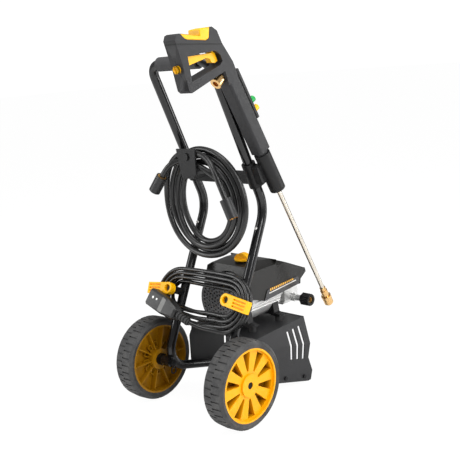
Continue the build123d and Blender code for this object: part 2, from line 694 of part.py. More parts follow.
def tip_rail():
    """The rack on the front of the barrel that holds the spray tips."""
    plane = Plane(origin=wand(717), x_dir=(1, 0, 0), z_dir=WAND_U)
    body = plane * (Pos(0, -28, 0) * Box(16, 7, 122))
    for step in (-55, -33, -11, 11, 33, 55):
        body += plane * (Pos(0, -20, step) * Box(10, 12, 4))
    body -= shroud(0.02) + wand_piece(GUN_OUTLINE, GUN_HALF)
    for z in TIP_ZS:
        body -= rod(5.05, wand(z, -22), wand(z, -34))
    return body


TIP_ZS = (757.0, 738.0, 718.0, 698.0, 679.0)


def spray_tip(z):
    """One quick-change spray tip in its hole in the rack."""
    return rod(5.0, wand(z, -24.5), wand(z, -34)) + rod(7.0, wand(z, -31.6), wand(z, -43.5))


# ---------------------------------------------------------------- cords

COIL_X, COIL_Y, COIL_Z = 15.0, -88.0, 483.0
COIL_A, COIL_B = 139.0, 129.0
COIL_IN_A, COIL_IN_B = 62.0, 84.0
COIL_DEPTH = 38.0


def hose_coil():
    """The hung coil of high-pressure hose as one closed ring."""
    flat = Pos(COIL_X, COIL_Z) * Ellipse(COIL_A, COIL_B)
    hole = Pos(COIL_X, COIL_Z - 3) * Ellipse(COIL_IN_A, COIL_IN_B - 4)
    sketch = flat - hole
    face = Plane(origin=(0, COIL_Y + COIL_DEPTH / 2, 0), x_dir=(1, 0, 0), z_dir=(0, -1, 0)) * sketch
    ring_solid = extrude(face, amount=COIL_DEPTH)
    return ring_solid - block((HANGER_X - 19.4, -120, 540), (HANGER_X + 19.4, -60, 551.4))


HOSE_TAIL_A = [(2, -78, 597), (-34, -66, 588), (-60, -57, 561), (-76, -55, 530), (-88, -55, 504)]
HOSE_TAIL_B = [(56, -80, 588), (76, -64, 582), (96, -53, 566), (110, -50, 547)]
NUT_A_LENGTH, NUT_B_LENGTH = 46.0, 44.0
NUT_GAP = 0.4                        # between a hose tail and the nut that turns on it


def tube_radii(points):
    """The largest arcs that a route's runs allow, one for each corner."""
    radii = []
    for a, b, c in zip(points, points[1:], points[2:]):
        one, two = Vector(*b) - Vector(*a), Vector(*c) - Vector(*b)
        turn = radians(one.get_angle(two))
        radii.append(0.45 * min(one.length, two.length) / tan(turn / 2))
    return radii


def cord_tube(name, points, radius):
    radii = tube_radii(points)
    print(name, "arc radii", [round(r, 1) for r in radii])
    return swept(points, radii, radius)


def swivel_nut(tail, length):
    """A hose-end nut in line with the last run of its tail, with an open mouth."""
    reach = (Vector(*tail[-1]) - Vector(*tail[-2])).normalized()
    start = Vector(*tail[-1]) + reach * NUT_GAP
    end = start + reach * length
    return rod(14.0, tuple(start), tuple(end)) - rod(10.0, tuple(end - reach * 14), tuple(end + reach))


HANK_MID, HANK_HALF = 5.0, 152.0
HANK_LOW, HANK_HIGH = -80.0, 59.0
HANK_NEAR, HANK_FAR = 13.0, 41.0


def cord_hank():
    """The power cord wound round the two posts, as one closed ring."""
    outer = Pos(HANK_MID, (HANK_LOW + HANK_HIGH) / 2) * RectangleRounded(2 * HANK_HALF, HANK_HIGH - HANK_LOW, 66)
    inner = Pos(0, -4) * RectangleRounded(226, 40, 9)
    return off_legs(outer - inner, HANK_NEAR, HANK_FAR)


PLUG_TOP = (124.0, -27.0, 76.0)
PLUG_NECK = (30.0, -56.0, 68.0)
BOOT_END = (-10.0, -68.3, 64.6)
CORD_TAIL = [BOOT_END, (-36, -74, 58), (-62, -71, 46), (-84, -62, 34)]
LEAD = [(58, -146, 297), (58, -127, 297), (54, -111, 300), (44, -97, 305), (29, -86, 308)]


def plug():
    """The moulded plug, with its three blades on the side that faces the machine."""
    start, end = Vector(*post_point(*PLUG_TOP)), Vector(*post_point(*PLUG_NECK))
    axis = (end - start).normalized()
    plane = Plane(origin=start, x_dir=LEG_N, z_dir=axis)
    length = (end - start).length
    outline = [(-21, 0), (-21, 0.62 * length), (-12, length), (12, length), (21, 0.62 * length), (21, 0)]
    body = chamfer(across(outline, -15, 15).edges(), 4.5)
    for y in (-6.35, 6.35):
        body += Pos(-23, y, 14) * Box(18, 1.6, 6.3)
    return plane * (body + Pos(-23, 0, 26) * Rot(0, 90, 0) * Cylinder(2.4, 18))


def plug_boot():
    """The ribbed boot between the plug and the cord."""
    start, end = post_point(*PLUG_NECK), post_point(*BOOT_END)
    step = (Vector(*end) - Vector(*start)) / 9
    body = rod(CORD_R + 2.2, start, end)
    for index in range(1, 8, 2):
        a = Vector(*start) + step * index
        body += rod(CORD_R + 4.5, tuple(a), tuple(a + step))
    return body - plug()


# ---------------------------------------------------------------- writing

def write_frame():
    save("lower_tube_left", lower_tube(TUBE_X))
    save("lower_tube_right", lower_tube(-TUBE_X))
    save("upper_handle", upper_handle())
    save("handle_grip", handle_grip())
    save("snap_button_left", snap_button(TUBE_X))
    save("snap_button_right", snap_button(-TUBE_X))
    save("base", base())
    screws = [rail_screw(side, y) for side in (-1, 1) for y in RAIL_SCREW_Y]
    screws += [hook_screw(side * TUBE_X) for side in (-1, 1)]
    save("screws", *screws)


def write_wheels():
    wheel_rim, wheel_tyre = rim(), tyre()
    for name, side in (("left", 1), ("right", -1)):
        save(f"rim_{name}", stand_wheel(wheel_rim, side))
        save(f"tyre_{name}", stand_wheel(wheel_tyre, side))
    save("stub_axles", stub_axle(-1), stub_axle(1))
    save("hitch_pins", hitch_pin(-1), hitch_pin(1))


def write_power_unit():
    save("rubber_mounts", *[rubber_mount(x, y) for x in (-MOUNT_X, MOUNT_X) for y in FOOT_YS])
    save("motor_feet", *[motor_foot(y) for y in FOOT_YS])
    save("motor_housing", motor_housing())
    save("fan_cowl", fan_cowl())
    save("stator", stator())
    save("rotor", rotor())
    save("cooling_fan", cooling_fan())
    save("motor_bearings", bearing(-128, -134), bearing(-246, -250))
    save("pump_body", pump_body())
    save("swash_plate", swash_plate())
    for index, angle in enumerate(PLUNGER_ANGLES):
        save(f"plunger_{index + 1}", plunger(angle))
    save("pump_head", pump_head())
    save("outlet_nut", outlet_nut())
    save("inlet_fitting", inlet_fitting())
    save("hood", hood())
    save("side_plates", side_plate(-1), side_plate(1))
    save("power_knob", power_knob())
    save("power_switch", power_switch())
    save("cord_gland", cord_gland())


def write_hangers():
    save("cord_posts", hook_post(-TUBE_X), hook_post(TUBE_X))
    save("cord_hook_left", cord_hook(1))
    save("cord_hook_right", cord_hook(-1))
    save("cross_bracket", cross_bracket())
    save("hose_hanger", hose_hanger())
    save("lance_holster", lance_holster())


def write_wand():
    save("gun_body", gun_body())
    save("grip_inlay", grip_inlay())
    save("trigger", trigger())
    save("trigger_lock", trigger_lock())
    save("gun_inlet", gun_inlet())
    save("lance_tube", lance_tube())
    save("quick_connect", qc_body())
    save("quick_collar", qc_collar())
    save("tip_rack", tip_rail())
    save("spray_tip_green", spray_tip(TIP_ZS[3]))
    save("spray_tip_yellow", spray_tip(TIP_ZS[4]))


def write_cords():
    save("hose_coil", hose_coil())
    save("hose_tails", cord_tube("hose tail a", HOSE_TAIL_A, HOSE_R), cord_tube("hose tail b", HOSE_TAIL_B, HOSE_R))
    save("hose_nut_pump", swivel_nut(HOSE_TAIL_A, NUT_A_LENGTH))
    save("hose_nut_gun", swivel_nut(HOSE_TAIL_B, NUT_B_LENGTH))
    save("cord_hank", cord_hank())
    tail = [post_point(*p) for p in CORD_TAIL]
    save("power_cord", cord_tube("cord tail", tail, CORD_R), cord_tube("cord lead", LEAD, CORD_R))
    save("plug", plug())
    save("plug_boot", plug_boot())


write_frame()
write_wheels()
write_power_unit()
write_hangers()
write_wand()
write_cords()
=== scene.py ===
import json
from math import cos, pi, radians, sin, sqrt

import bmesh
import bpy
from mathutils import Matrix, Vector


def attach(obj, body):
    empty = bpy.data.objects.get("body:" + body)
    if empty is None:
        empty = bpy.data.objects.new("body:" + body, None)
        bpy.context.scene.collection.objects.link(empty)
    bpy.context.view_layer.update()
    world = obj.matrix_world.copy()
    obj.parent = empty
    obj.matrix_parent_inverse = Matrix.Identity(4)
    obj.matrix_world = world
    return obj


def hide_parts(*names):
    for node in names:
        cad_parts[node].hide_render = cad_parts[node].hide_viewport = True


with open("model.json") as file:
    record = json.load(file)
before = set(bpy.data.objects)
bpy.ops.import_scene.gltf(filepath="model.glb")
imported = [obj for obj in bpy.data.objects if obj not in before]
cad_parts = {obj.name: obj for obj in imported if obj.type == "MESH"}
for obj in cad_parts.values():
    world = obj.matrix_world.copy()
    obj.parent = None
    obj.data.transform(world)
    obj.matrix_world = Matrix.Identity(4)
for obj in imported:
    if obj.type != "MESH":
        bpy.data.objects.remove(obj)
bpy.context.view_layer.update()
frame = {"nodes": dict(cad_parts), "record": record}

# An electric pressure washer. Metres, +Z up, +Y towards the user, +X to the user's left.
MM = 0.001
AXLE_Y = 0.1285                      # the axle's place along Y
LEG_LEAN = 0.492                     # how far the frame's legs lean back for each unit they rise
POST_Y, POST_Z = -71.5, 256.6        # the cord posts' place on the legs, in millimetres as place() takes


def unit(y, z):
    """A direction of length one in the plane of Y and Z."""
    length = sqrt(y * y + z * z)
    return Vector((0.0, y / length, z / length))


LEG_U = unit(-LEG_LEAN, 1.0)                 # up along the legs
LEG_N = Vector((0.0, LEG_U.z, -LEG_U.y))     # square to them, out towards the user


def place(point):
    """A point given in millimetres from the floor under the axle, in the frame."""
    return Vector((point[0] * MM, point[1] * MM + AXLE_Y, point[2] * MM))


def post_place(x, up, out):
    """A point given across, up the legs from the cord posts, and out towards the user."""
    return place((x, POST_Y + out * LEG_N.y + up * LEG_U.y, POST_Z + out * LEG_N.z + up * LEG_U.z))


# ---------------------------------------------------------------- camera and light

def make_camera():
    """The camera on the user's right, level with the grip and looking slightly down."""
    data = bpy.data.cameras.new("studio_camera")
    data.lens = 61.4
    data.sensor_width = 36.0
    camera = bpy.data.objects.new("studio_camera", data)
    bpy.context.collection.objects.link(camera)
    right = Vector((-0.7267, -0.6825, -0.0778)).normalized()
    ahead = Vector((0.6811, -0.7012, -0.2109)).normalized()
    up = right.cross(ahead).normalized()
    turn = Matrix((right, up, -ahead)).transposed().to_4x4()
    camera.matrix_world = Matrix.Translation(Vector((-1.2844, 1.2986, 0.803))) @ turn
    bpy.context.scene.camera = camera
    return camera


def area_light(name, spot, aim, size, power):
    """A rectangular light of a size in metres and a power in watts, turned to face its aim."""
    data = bpy.data.lights.new(name, "AREA")
    data.shape = "RECTANGLE"
    data.size, data.size_y = size
    data.energy = power
    lamp = bpy.data.objects.new(name, data)
    bpy.context.collection.objects.link(lamp)
    lamp.location = spot
    lamp.rotation_euler = (Vector(aim) - Vector(spot)).to_track_quat("-Z", "Y").to_euler()


LIT_BY_WORLD, SEEN_WORLD = 0.34, 1.1          # the world's strength as a light and as the camera sees it
WHITE = (1.0, 1.0, 1.0, 1.0)
LAMPS = (("top", (-0.3, 0.4, 2.6), (0, 0, 0.3), (1.8, 1.8), 46),
         ("key", (-1.9, 0.5, 1.5), (0, 0, 0.4), (0.5, 1.5), 26),
         ("side", (1.7, 1.9, 1.2), (0, 0, 0.4), (0.6, 1.9), 26),
         ("front", (-1.7, -1.7, 0.9), (0, 0, 0.35), (0.5, 1.6), 24))


def make_studio():
    """A dim world for the light and a white one behind the machine, with four area lights."""
    world = bpy.data.worlds.new("studio")
    bpy.context.scene.world = world
    world.use_nodes = True
    tree = world.node_tree
    sky = tree.nodes["Background"]
    sky.inputs["Color"].default_value = WHITE
    sky.inputs["Strength"].default_value = LIT_BY_WORLD
    seen = tree.nodes.new("ShaderNodeBackground")
    seen.inputs["Color"].default_value = WHITE
    seen.inputs["Strength"].default_value = SEEN_WORLD
    path = tree.nodes.new("ShaderNodeLightPath")
    choose = tree.nodes.new("ShaderNodeMixShader")
    tree.links.new(path.outputs["Is Camera Ray"], choose.inputs[0])
    tree.links.new(sky.outputs[0], choose.inputs[1])
    tree.links.new(seen.outputs[0], choose.inputs[2])
    tree.links.new(choose.outputs[0], tree.nodes["World Output"].inputs["Surface"])
    for lamp in LAMPS:
        area_light(*lamp)
    bpy.context.scene.view_settings.view_transform = "Standard"


# ---------------------------------------------------------------- shader maths

class Tap:
    """A node socket on which sums are written as plain expressions."""

    def __init__(self, paint, socket):
        self.paint, self.socket = paint, socket

    def _math(self, operation, *others, flip=False):
        values = [self, *others]
        if flip:
            values.reverse()
        return self.paint.node("ShaderNodeMath", {"operation": operation}, dict(enumerate(values)))

    def __add__(self, other):
        return self._math("ADD", other)

    __radd__ = __add__

    def __mul__(self, other):
        return self._math("MULTIPLY", other)

    __rmul__ = __mul__

    def __sub__(self, other):
        return self._math("SUBTRACT", other)

    def __rsub__(self, other):
        return self._math("SUBTRACT", other, flip=True)

    def over(self, edge):
        return self._math("GREATER_THAN", edge)

    def under(self, edge):
        return self._math("LESS_THAN", edge)

    def sine(self):
        return self._math("SINE")

    def size(self):
        return self._math("ABSOLUTE")

    def band(self, middle, half):
        return (self - middle).size().under(half)


class Paint:
    """One material and its node tree."""

    def __init__(self, name):
        self.made = bpy.data.materials.new(name)
        self.made.use_nodes = True
        self.tree = self.made.node_tree
        self.shader = self.tree.nodes["Principled BSDF"]
        self.space = self.node("ShaderNodeTexCoord", {}, {}, "Object")

    def node(self, kind, settings, values, out=0):
        """Adds a node, sets it up, feeds its sockets and gives back one of its outputs."""
        made = self.tree.nodes.new(kind)
        for key, value in settings.items():
            if key == "stops":
                ramp = made.color_ramp
                while len(ramp.elements) < len(value):
                    ramp.elements.new(0.5)
                for element, (spot, colour) in zip(ramp.elements, value):
                    element.position, element.color = spot, (*colour, 1.0)
            else:
                setattr(made, key, value)
        for key, value in values.items():
            self.feed(made.inputs[key], value)
        return Tap(self, made.outputs[out])

    def feed(self, socket, value):
        """Links a Tap to a socket, or sets a plain value on it."""
        if isinstance(value, Tap):
            self.tree.links.new(value.socket, socket)
        elif isinstance(value, (tuple, list)) and len(value) == 3 and socket.type == "RGBA":
            socket.default_value = (*value, 1.0)
        else:
            socket.default_value = value

    def noise(self, scale, detail=3.0, stretch=(1, 1, 1), rough=0.55):
        spot = self.node("ShaderNodeMapping", {}, {"Vector": self.space, "Scale": stretch})
        return self.node("ShaderNodeTexNoise", {}, {"Vector": spot, "Scale": scale, "Detail": detail,
                                                    "Roughness": rough}, "Fac")

    def axis(self, name):
        return self.node("ShaderNodeSeparateXYZ", {}, {0: self.space}, name)

    def dot(self, direction, start):
        """How far a point lies along a direction from a start."""
        made = self.vector_math("DOT_PRODUCT", self.space, tuple(direction), out="Value")
        return made - direction.dot(start)

    def vector_math(self, operation, *values, out=0):
        return self.node("ShaderNodeVectorMath", {"operation": operation}, dict(enumerate(values)), out)

    def blend(self, factor, first, second):
        return self.node("ShaderNodeMix", {"data_type": "RGBA"}, {0: factor, 6: first, 7: second}, 2)

    def finish(self, colour, rough, metal=0.0, bump=None, depth=0.0003, **fixed):
        self.feed(self.shader.inputs["Base Color"], colour)
        self.feed(self.shader.inputs["Roughness"], rough)
        self.feed(self.shader.inputs["Metallic"], metal)
        for key, value in fixed.items():
            self.shader.inputs[key.replace("_", " ")].default_value = value
        if bump is not None:
            raised = self.node("ShaderNodeBump", {}, {"Height": bump, "Distance": depth, "Strength": 0.6})
            self.feed(self.shader.inputs["Normal"], raised)
        return self.made


# ---------------------------------------------------------------- materials

DULL_SHINE = 0.3            # moulded plastic mirrors less than the shader's usual level


def moulded_plastic(name, colour, rough=0.5, grain=900.0, worn=0.06, depth=0.00025):
    """Moulded plastic with a fine spark-eroded grain, cloudy wear and slight sheen changes."""
    paint = Paint(name)
    cloud = paint.noise(14, 4)
    fine = paint.noise(grain, 2)
    light = tuple(min(1.0, c * (1 + 5 * worn) + worn * 0.05) for c in colour)
    dark = tuple(c * (1 - 2 * worn) for c in colour)
    return paint.finish(paint.blend(cloud, dark, light), cloud * 0.16 + (rough - 0.08),
                        bump=fine + cloud * 0.4, depth=depth, Specular_IOR_Level=DULL_SHINE)


def powder_coat(name):
    """Glossy black powder coat with a slight orange peel."""
    paint = Paint(name)
    peel = paint.noise(420, 2)
    cloud = paint.noise(9, 3)
    coat = paint.blend(cloud, (0.003, 0.003, 0.0035), (0.008, 0.008, 0.009))
    return paint.finish(coat, cloud * 0.10 + 0.14, bump=peel, depth=0.00012)


def foam(name):
    """The hand grip's dull foam, with open cells at its skin."""
    paint = Paint(name)
    cells = paint.noise(1500, 3)
    cloud = paint.noise(30, 3)
    skin = paint.blend(cloud, (0.030, 0.030, 0.032), (0.055, 0.055, 0.058))
    return paint.finish(skin, cells * 0.1 + 0.72, bump=cells, depth=0.0006)


def drawn_metal(name, colour, rough=0.28, stretch=(60, 2, 2)):
    """Metal with fine drawn lines and a little tarnish."""
    paint = Paint(name)
    lines = paint.noise(55, 3, stretch)
    stain = paint.noise(22, 4)
    dull = tuple(c * 0.72 for c in colour)
    return paint.finish(paint.blend(stain, dull, colour), lines * 0.14 + stain * 0.12 + (rough - 0.13),
                        metal=1.0, bump=lines, depth=0.00006)


def cast_metal(name, colour):
    """Sand-cast metal, stained in places."""
    paint = Paint(name)
    sand = paint.noise(620, 3)
    stain = paint.noise(16, 4)
    dull = tuple(c * 0.68 for c in colour)
    return paint.finish(paint.blend(stain, dull, colour), sand * 0.12 + stain * 0.16 + 0.26, metal=0.5,
                        bump=sand, depth=0.0003)


def tyre_rubber(name):
    """Hard tyre with dusty scuffs on its tread and fine moulded grain."""
    paint = Paint(name)
    scuff = paint.noise(26, 6, rough=0.7)
    grain = paint.noise(700, 2)
    stops = [(0.42, (0.030, 0.030, 0.031)), (0.72, (0.085, 0.083, 0.080))]
    dust = paint.node("ShaderNodeValToRGB", {"stops": stops}, {"Fac": scuff})
    return paint.finish(dust, scuff * 0.2 + 0.55, bump=grain + scuff * 0.6, depth=0.0006)


def jacket(name, colour, rough=0.34):
    """The soft shiny jacket of a hose or a cord."""
    paint = Paint(name)
    cloud = paint.noise(38, 4)
    fine = paint.noise(800, 2)
    light = tuple(c * 1.9 + 0.003 for c in colour)
    return paint.finish(paint.blend(cloud, colour, light), cloud * 0.18 + (rough - 0.09), bump=fine,
                        depth=0.00012)


def gun_plastic(name):
    """The gun's dark grey shell with the parting line across its head."""
    paint = Paint(name)
    cloud = paint.noise(18, 4)
    fine = paint.noise(950, 2)
    y, z = paint.axis("Y"), paint.axis("Z")
    tilt = 0.035
    seam = (z - tilt * y).band(0.8385 - tilt * (AXLE_Y + 0.03), 0.0014) * y.over(AXLE_Y - 0.02)
    shell = paint.blend(cloud, (0.016, 0.016, 0.017), (0.028, 0.028, 0.030))
    return paint.finish(paint.blend(seam, shell, (0.006, 0.006, 0.006)), cloud * 0.14 + 0.40,
                        bump=fine * 0.4 - seam, depth=0.0006, Specular_IOR_Level=DULL_SHINE)


def plate_finish(name):
    """The glossy plate along the hood, with a plain light line and a row of amber ticks on it."""
    paint = Paint(name)
    y, z = paint.axis("Y"), paint.axis("Z")
    cloud = paint.noise(30, 3)
    slant = z + 0.06 * (y - AXLE_Y)
    line = slant.band(0.2365, 0.0011) * y.band(AXLE_Y - 0.242, 0.052)
    bar = slant.band(0.2442, 0.0036) * y.band(AXLE_Y - 0.240, 0.046)
    tick = (y * 900.0).sine().over(-0.2)
    face = paint.blend(cloud, (0.028, 0.028, 0.030), (0.045, 0.045, 0.047))
    face = paint.blend(bar * tick, face, (0.85, 0.42, 0.02))
    return paint.finish(paint.blend(line, face, (0.75, 0.72, 0.66)), cloud * 0.1 + 0.2)


SHADE_START_X, WEB_BACK_X = 0.1668, 0.1449      # where the painted shade starts, just under the spokes' outer face, and the web's inner face


def cell_plastic(name, colour, shadow):
    """Amber wheel plastic with painted shade, darker the deeper it lies under the spokes' face."""
    paint = Paint(name)
    cloud = paint.noise(12, 4)
    fine = paint.noise(700, 2)
    x = paint.axis("X").size()
    sunk = paint.node("ShaderNodeMath", {"operation": "MULTIPLY", "use_clamp": True},
                      {0: SHADE_START_X - x, 1: 55.0})
    face = paint.blend(cloud, tuple(c * 0.88 for c in colour), colour)
    # painted shade in the wheel's pockets and on its inner side, a little lighter on the inner side
    painted_shade = sunk * 0.80 * (1.0 - x.under(WEB_BACK_X) * 0.10)
    return paint.finish(paint.blend(painted_shade, face, shadow), cloud * 0.14 + 0.34, bump=fine, depth=0.0002,
                        Specular_IOR_Level=DULL_SHINE)


STUB_X = -0.090             # the outlet stub is brass over its last 6 mm, past this


def outlet_metal(name):
    """Cast metal, turning to brass at the end of the outlet stub."""
    paint = Paint(name)
    sand, stain = paint.noise(620, 3), paint.noise(16, 4)
    stub = paint.axis("X").under(STUB_X)
    face = paint.blend(stub, paint.blend(stain, (0.52, 0.52, 0.51), (0.78, 0.78, 0.77)), (0.80, 0.48, 0.16))
    return paint.finish(face, sand * 0.12 + stain * 0.16 + 0.26, metal=0.85, bump=sand, depth=0.0003)


def plug_finish(name):
    """The plug's black moulding with a plain grey patch by its neck and two pale round spots."""
    paint = Paint(name)
    top, neck = post_place(124, -27, 76), post_place(30, -56, 68)
    reach = (neck - top).normalized()
    rise = LEG_N.cross(reach).normalized()
    cloud, fine = paint.noise(40, 4), paint.noise(800, 2)
    along = paint.dot(reach, top)
    aside = paint.dot(rise, top)
    out = paint.dot(LEG_N, top)
    front = out.over(0.010)
    patch = along.band(0.068, 0.020) * front
    spots = [(along - mid) * (along - mid) + (aside - low) * (aside - low)
             for mid, low in ((0.020, 0.004), (0.033, 0.005))]
    pale = (spots[0].under(0.0000090) + spots[1].under(0.0000065)) * front
    face = paint.blend(cloud, (0.008, 0.008, 0.008), (0.015, 0.015, 0.015))
    face = paint.blend(patch, face, (0.15, 0.15, 0.145))
    return paint.finish(paint.blend(pale, face, (0.85, 0.85, 0.83)), cloud * 0.2 + 0.32, bump=fine,
                        depth=0.0002)


NUT_BORE_R = 0.0107         # inside this radius a nut is brass, outside it plastic


def nut_finish(name, end, before):
    """A moulded nut in line with a hose's last run, with a brass insert in its mouth."""
    paint = Paint(name)
    reach = (place(end) - place(before)).normalized()
    cloud, fine = paint.noise(30, 4), paint.noise(800, 2)
    spot = paint.vector_math("SUBTRACT", paint.space, tuple(place(end)))
    wide = paint.vector_math("CROSS_PRODUCT", spot, tuple(reach))
    insert = paint.vector_math("LENGTH", wide, out="Value").under(NUT_BORE_R)
    face = paint.blend(cloud, (0.009, 0.009, 0.0095), (0.018, 0.018, 0.019))
    return paint.finish(paint.blend(insert, face, (0.80, 0.46, 0.14)), cloud * 0.2 + 0.32 - insert * 0.1,
                        metal=insert * 0.9, bump=fine, depth=0.0002)


SATIN_BLACK = (0.006, 0.006, 0.0065)
YELLOW = (0.98, 0.47, 0.0)


def make_paints():
    return {
        "tube": powder_coat("black_powder_coat"),
        "foam": foam("grip_foam"),
        "steel": drawn_metal("zinc_steel", (0.72, 0.71, 0.69)),
        "lance": drawn_metal("lance_steel", (0.78, 0.72, 0.62), 0.26, (60, 1, 1)),
        "brass": drawn_metal("brass", (0.86, 0.55, 0.24), 0.26),
        "copper": drawn_metal("copper_winding", (0.80, 0.36, 0.18), 0.4, (2, 60, 2)),
        "cast": cast_metal("cast_aluminium", (0.80, 0.80, 0.79)),
        "head": outlet_metal("pump_head_metal"),
        "cowl": cast_metal("cowl_metal", (0.30, 0.30, 0.31)),
        "plug": plug_finish("plug_plastic"),
        "nut_pump": nut_finish("nut_plastic_pump", TAIL_A[0], TAIL_A[1]),
        "nut_gun": nut_finish("nut_plastic_gun", TAIL_B[-1], TAIL_B[-2]),
        "black": moulded_plastic("black_plastic", SATIN_BLACK, 0.46),
        "hood": moulded_plastic("hood_plastic", (0.009, 0.0085, 0.0075), 0.30, 700, 0.10),
        "saddle": moulded_plastic("saddle_plastic", (0.013, 0.013, 0.014), 0.48, 420, 0.10, 0.0005),
        "gun": gun_plastic("gun_plastic"),
        "yellow": moulded_plastic("yellow_plastic", YELLOW, 0.36, 600, 0.02),
        "rim": cell_plastic("rim_plastic", (0.95, 0.44, 0.0), (0.085, 0.036, 0.001)),
        "green": moulded_plastic("green_plastic", (0.01, 0.30, 0.06), 0.35),
        "tyre": tyre_rubber("tyre_rubber"),
        "hose": jacket("hose_jacket", (0.006, 0.006, 0.006), 0.30),
        "cord": jacket("cord_jacket", (0.005, 0.005, 0.005), 0.26),
        "dark_steel": drawn_metal("dark_steel", (0.035, 0.035, 0.036), 0.5),
        "rubber": jacket("soft_rubber", (0.014, 0.014, 0.014), 0.6),
        "plate": plate_finish("hood_plate"),
    }


NODE_PAINTS = {
    "tube": ("lower_tube_left", "lower_tube_right", "upper_handle"),
    "foam": ("handle_grip",),
    "steel": ("snap_button_left", "snap_button_right", "rotor", "plunger_1", "plunger_2", "plunger_3",
              "motor_bearings", "swash_plate"),
    "dark_steel": ("screws", "stub_axles", "hitch_pins"),
    "lance": ("lance_tube",),
    "brass": ("gun_inlet", "quick_connect", "quick_collar"),
    "copper": ("stator",),
    "cast": ("motor_housing", "pump_body"),
    "head": ("pump_head",),
    "black": ("cord_posts", "cross_bracket", "hose_hanger", "lance_holster", "tip_rack", "cooling_fan",
              "motor_feet", "outlet_nut", "power_switch", "cord_gland", "inlet_fitting"),
    "hood": ("hood",),
    "saddle": ("base",),
    "gun": ("gun_body",),
    "yellow": ("cord_hook_left", "cord_hook_right", "grip_inlay", "trigger", "trigger_lock", "power_knob",
               "spray_tip_yellow"),
    "rim": ("rim_left", "rim_right"),
    "green": ("spray_tip_green",),
    "tyre": ("tyre_left", "tyre_right"),
    "nut_pump": ("hose_nut_pump",),
    "nut_gun": ("hose_nut_gun",),
    "rubber": ("rubber_mounts", "plug_boot"),
    "plug": ("plug",),
    "cowl": ("fan_cowl",),
    "plate": ("side_plates",),
}


# ---------------------------------------------------------------- pieces

BODY_OF = {node: body for body, nodes in frame["record"]["behaviour"]["bodies"].items() for node in nodes}


def add_piece(name, mesh_maker, paint, body, *stands_for):
    """Makes a mesh piece from a filled bmesh, with its body, its paint and the nodes it stands for."""
    mesh = bpy.data.meshes.new(name)
    mesh_maker.to_mesh(mesh)
    mesh_maker.free()
    piece = bpy.data.objects.new(name, mesh)
    bpy.context.collection.objects.link(piece)
    mesh.materials.append(paint)
    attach(piece, body)
    if stands_for:
        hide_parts(*stands_for)
    return piece


LONG_EDGE, GUN_HEAD_Z = 0.005, 0.765     # a first rounding takes only long edges above this height


def softened(node, width, paint, segments=3, angle=32.0, first_round=0.0):
    """A copy of a node with its sharp moulded edges rounded over, some of them more by a first rounding."""
    work = bmesh.new()
    work.from_mesh(frame["nodes"][node].data)
    bmesh.ops.remove_doubles(work, verts=work.verts, dist=1e-6)
    bmesh.ops.dissolve_limit(work, angle_limit=radians(1.5), verts=work.verts, edges=work.edges)
    bmesh.ops.triangulate(work, faces=[face for face in work.faces if len(face.verts) > 4])
    if first_round:
        sharp = [edge for edge in work.edges if edge.is_manifold and edge.calc_length() > LONG_EDGE
                 and edge.calc_face_angle() > radians(angle)
                 and min(vert.co.z for vert in edge.verts) > GUN_HEAD_Z]
        bmesh.ops.bevel(work, geom=sharp, offset=first_round, offset_type="OFFSET", segments=4, profile=0.5,
                        affect="EDGES", clamp_overlap=True, material=-1)
    piece = add_piece(f"{node}_shell", work, paint, BODY_OF[node], node)
    rounding = piece.modifiers.new("rounding", "BEVEL")
    rounding.width = width
    rounding.segments = segments
    rounding.limit_method = "ANGLE"
    rounding.angle_limit = radians(angle)
    rounding.harden_normals = False
    piece.data.shade_smooth()
    even = piece.modifiers.new("flat_faces", "WEIGHTED_NORMAL")
    even.keep_sharp = False
    even.weight = 80
    return piece


def cord_curve(name, points, radius, paint, body="frame"):
    """A round cord on one open spline through its route."""
    data = bpy.data.curves.new(name, "CURVE")
    data.dimensions = "3D"
    data.bevel_depth = radius
    data.bevel_resolution = 5
    data.resolution_u = 5
    data.use_fill_caps = True
    spline = data.splines.new("NURBS")
    spline.points.add(len(points) - 1)
    for control, point in zip(spline.points, points):
        control.co = (*point, 1.0)
    spline.order_u = 3
    spline.use_endpoint_u = True
    data.materials.append(paint)
    piece = bpy.data.objects.new(name, data)
    bpy.context.collection.objects.link(piece)
    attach(piece, body)
    return piece


# ---------------------------------------------------------------- hose

HOSE_R = 7.0
HOSE_TURNS, HOSE_STEPS = 4, 18        # turns of the hung coil, and points on each
HOSE_MID_X, HOSE_MID_Y, HOSE_MID_Z = 15.0, -88.0, 483.0
TAIL_A = [(-88, -55, 504), (-76, -55, 530), (-60, -57, 561), (-34, -66, 588), (2, -73, 601)]
TAIL_B = [(-24, -78, 556), (4, -73.8, 571), (32, -73.4, 581), (60, -73.4, 585), (80, -62, 579),
          (96, -53, 566), (110, -50, 547)]


def smooth(value):
    """An even step from 0 to 1."""
    value = min(1.0, max(0.0, value))
    return value * value * (3 - 2 * value)


def hose_turn(angle):
    """The hung coil's line, from its outermost turn inwards, angle 0 at the top and turning towards +X."""
    turns = angle / (2 * pi)
    # each turn lies inside the last, by more on the user's left than on the right
    across = 133.2 - 19.3 * turns if sin(angle) > 0 else 144.5 - 15.3 * turns
    rise = 128 - 15 * max(0.0, turns - 1) if cos(angle) > 0 else 132.4 - 10.7 * turns
    side = 1 if int(turns) % 2 == 0 else -1
    depth = HOSE_MID_Y + side * 5.2 * smooth(-cos(angle))
    if turns < 0.5:   # the first turn starts nearer the user, where the tail from the pump's nut comes in
        depth += 14.5 * (1 - smooth((angle - 0.5) / 0.9))
    return (HOSE_MID_X + across * sin(angle), depth, HOSE_MID_Z + rise * cos(angle))


def hose_route():
    """The hose's line from the pump's nut, through the hung coil and to the gun's nut."""
    first, last = 0.32, 2 * pi * HOSE_TURNS - 0.95
    count = int(HOSE_STEPS * (last - first) / (2 * pi))
    turns = [hose_turn(first + (last - first) * index / count) for index in range(count + 1)]
    return [place(point) for point in TAIL_A + turns + TAIL_B]


# ---------------------------------------------------------------- power cord

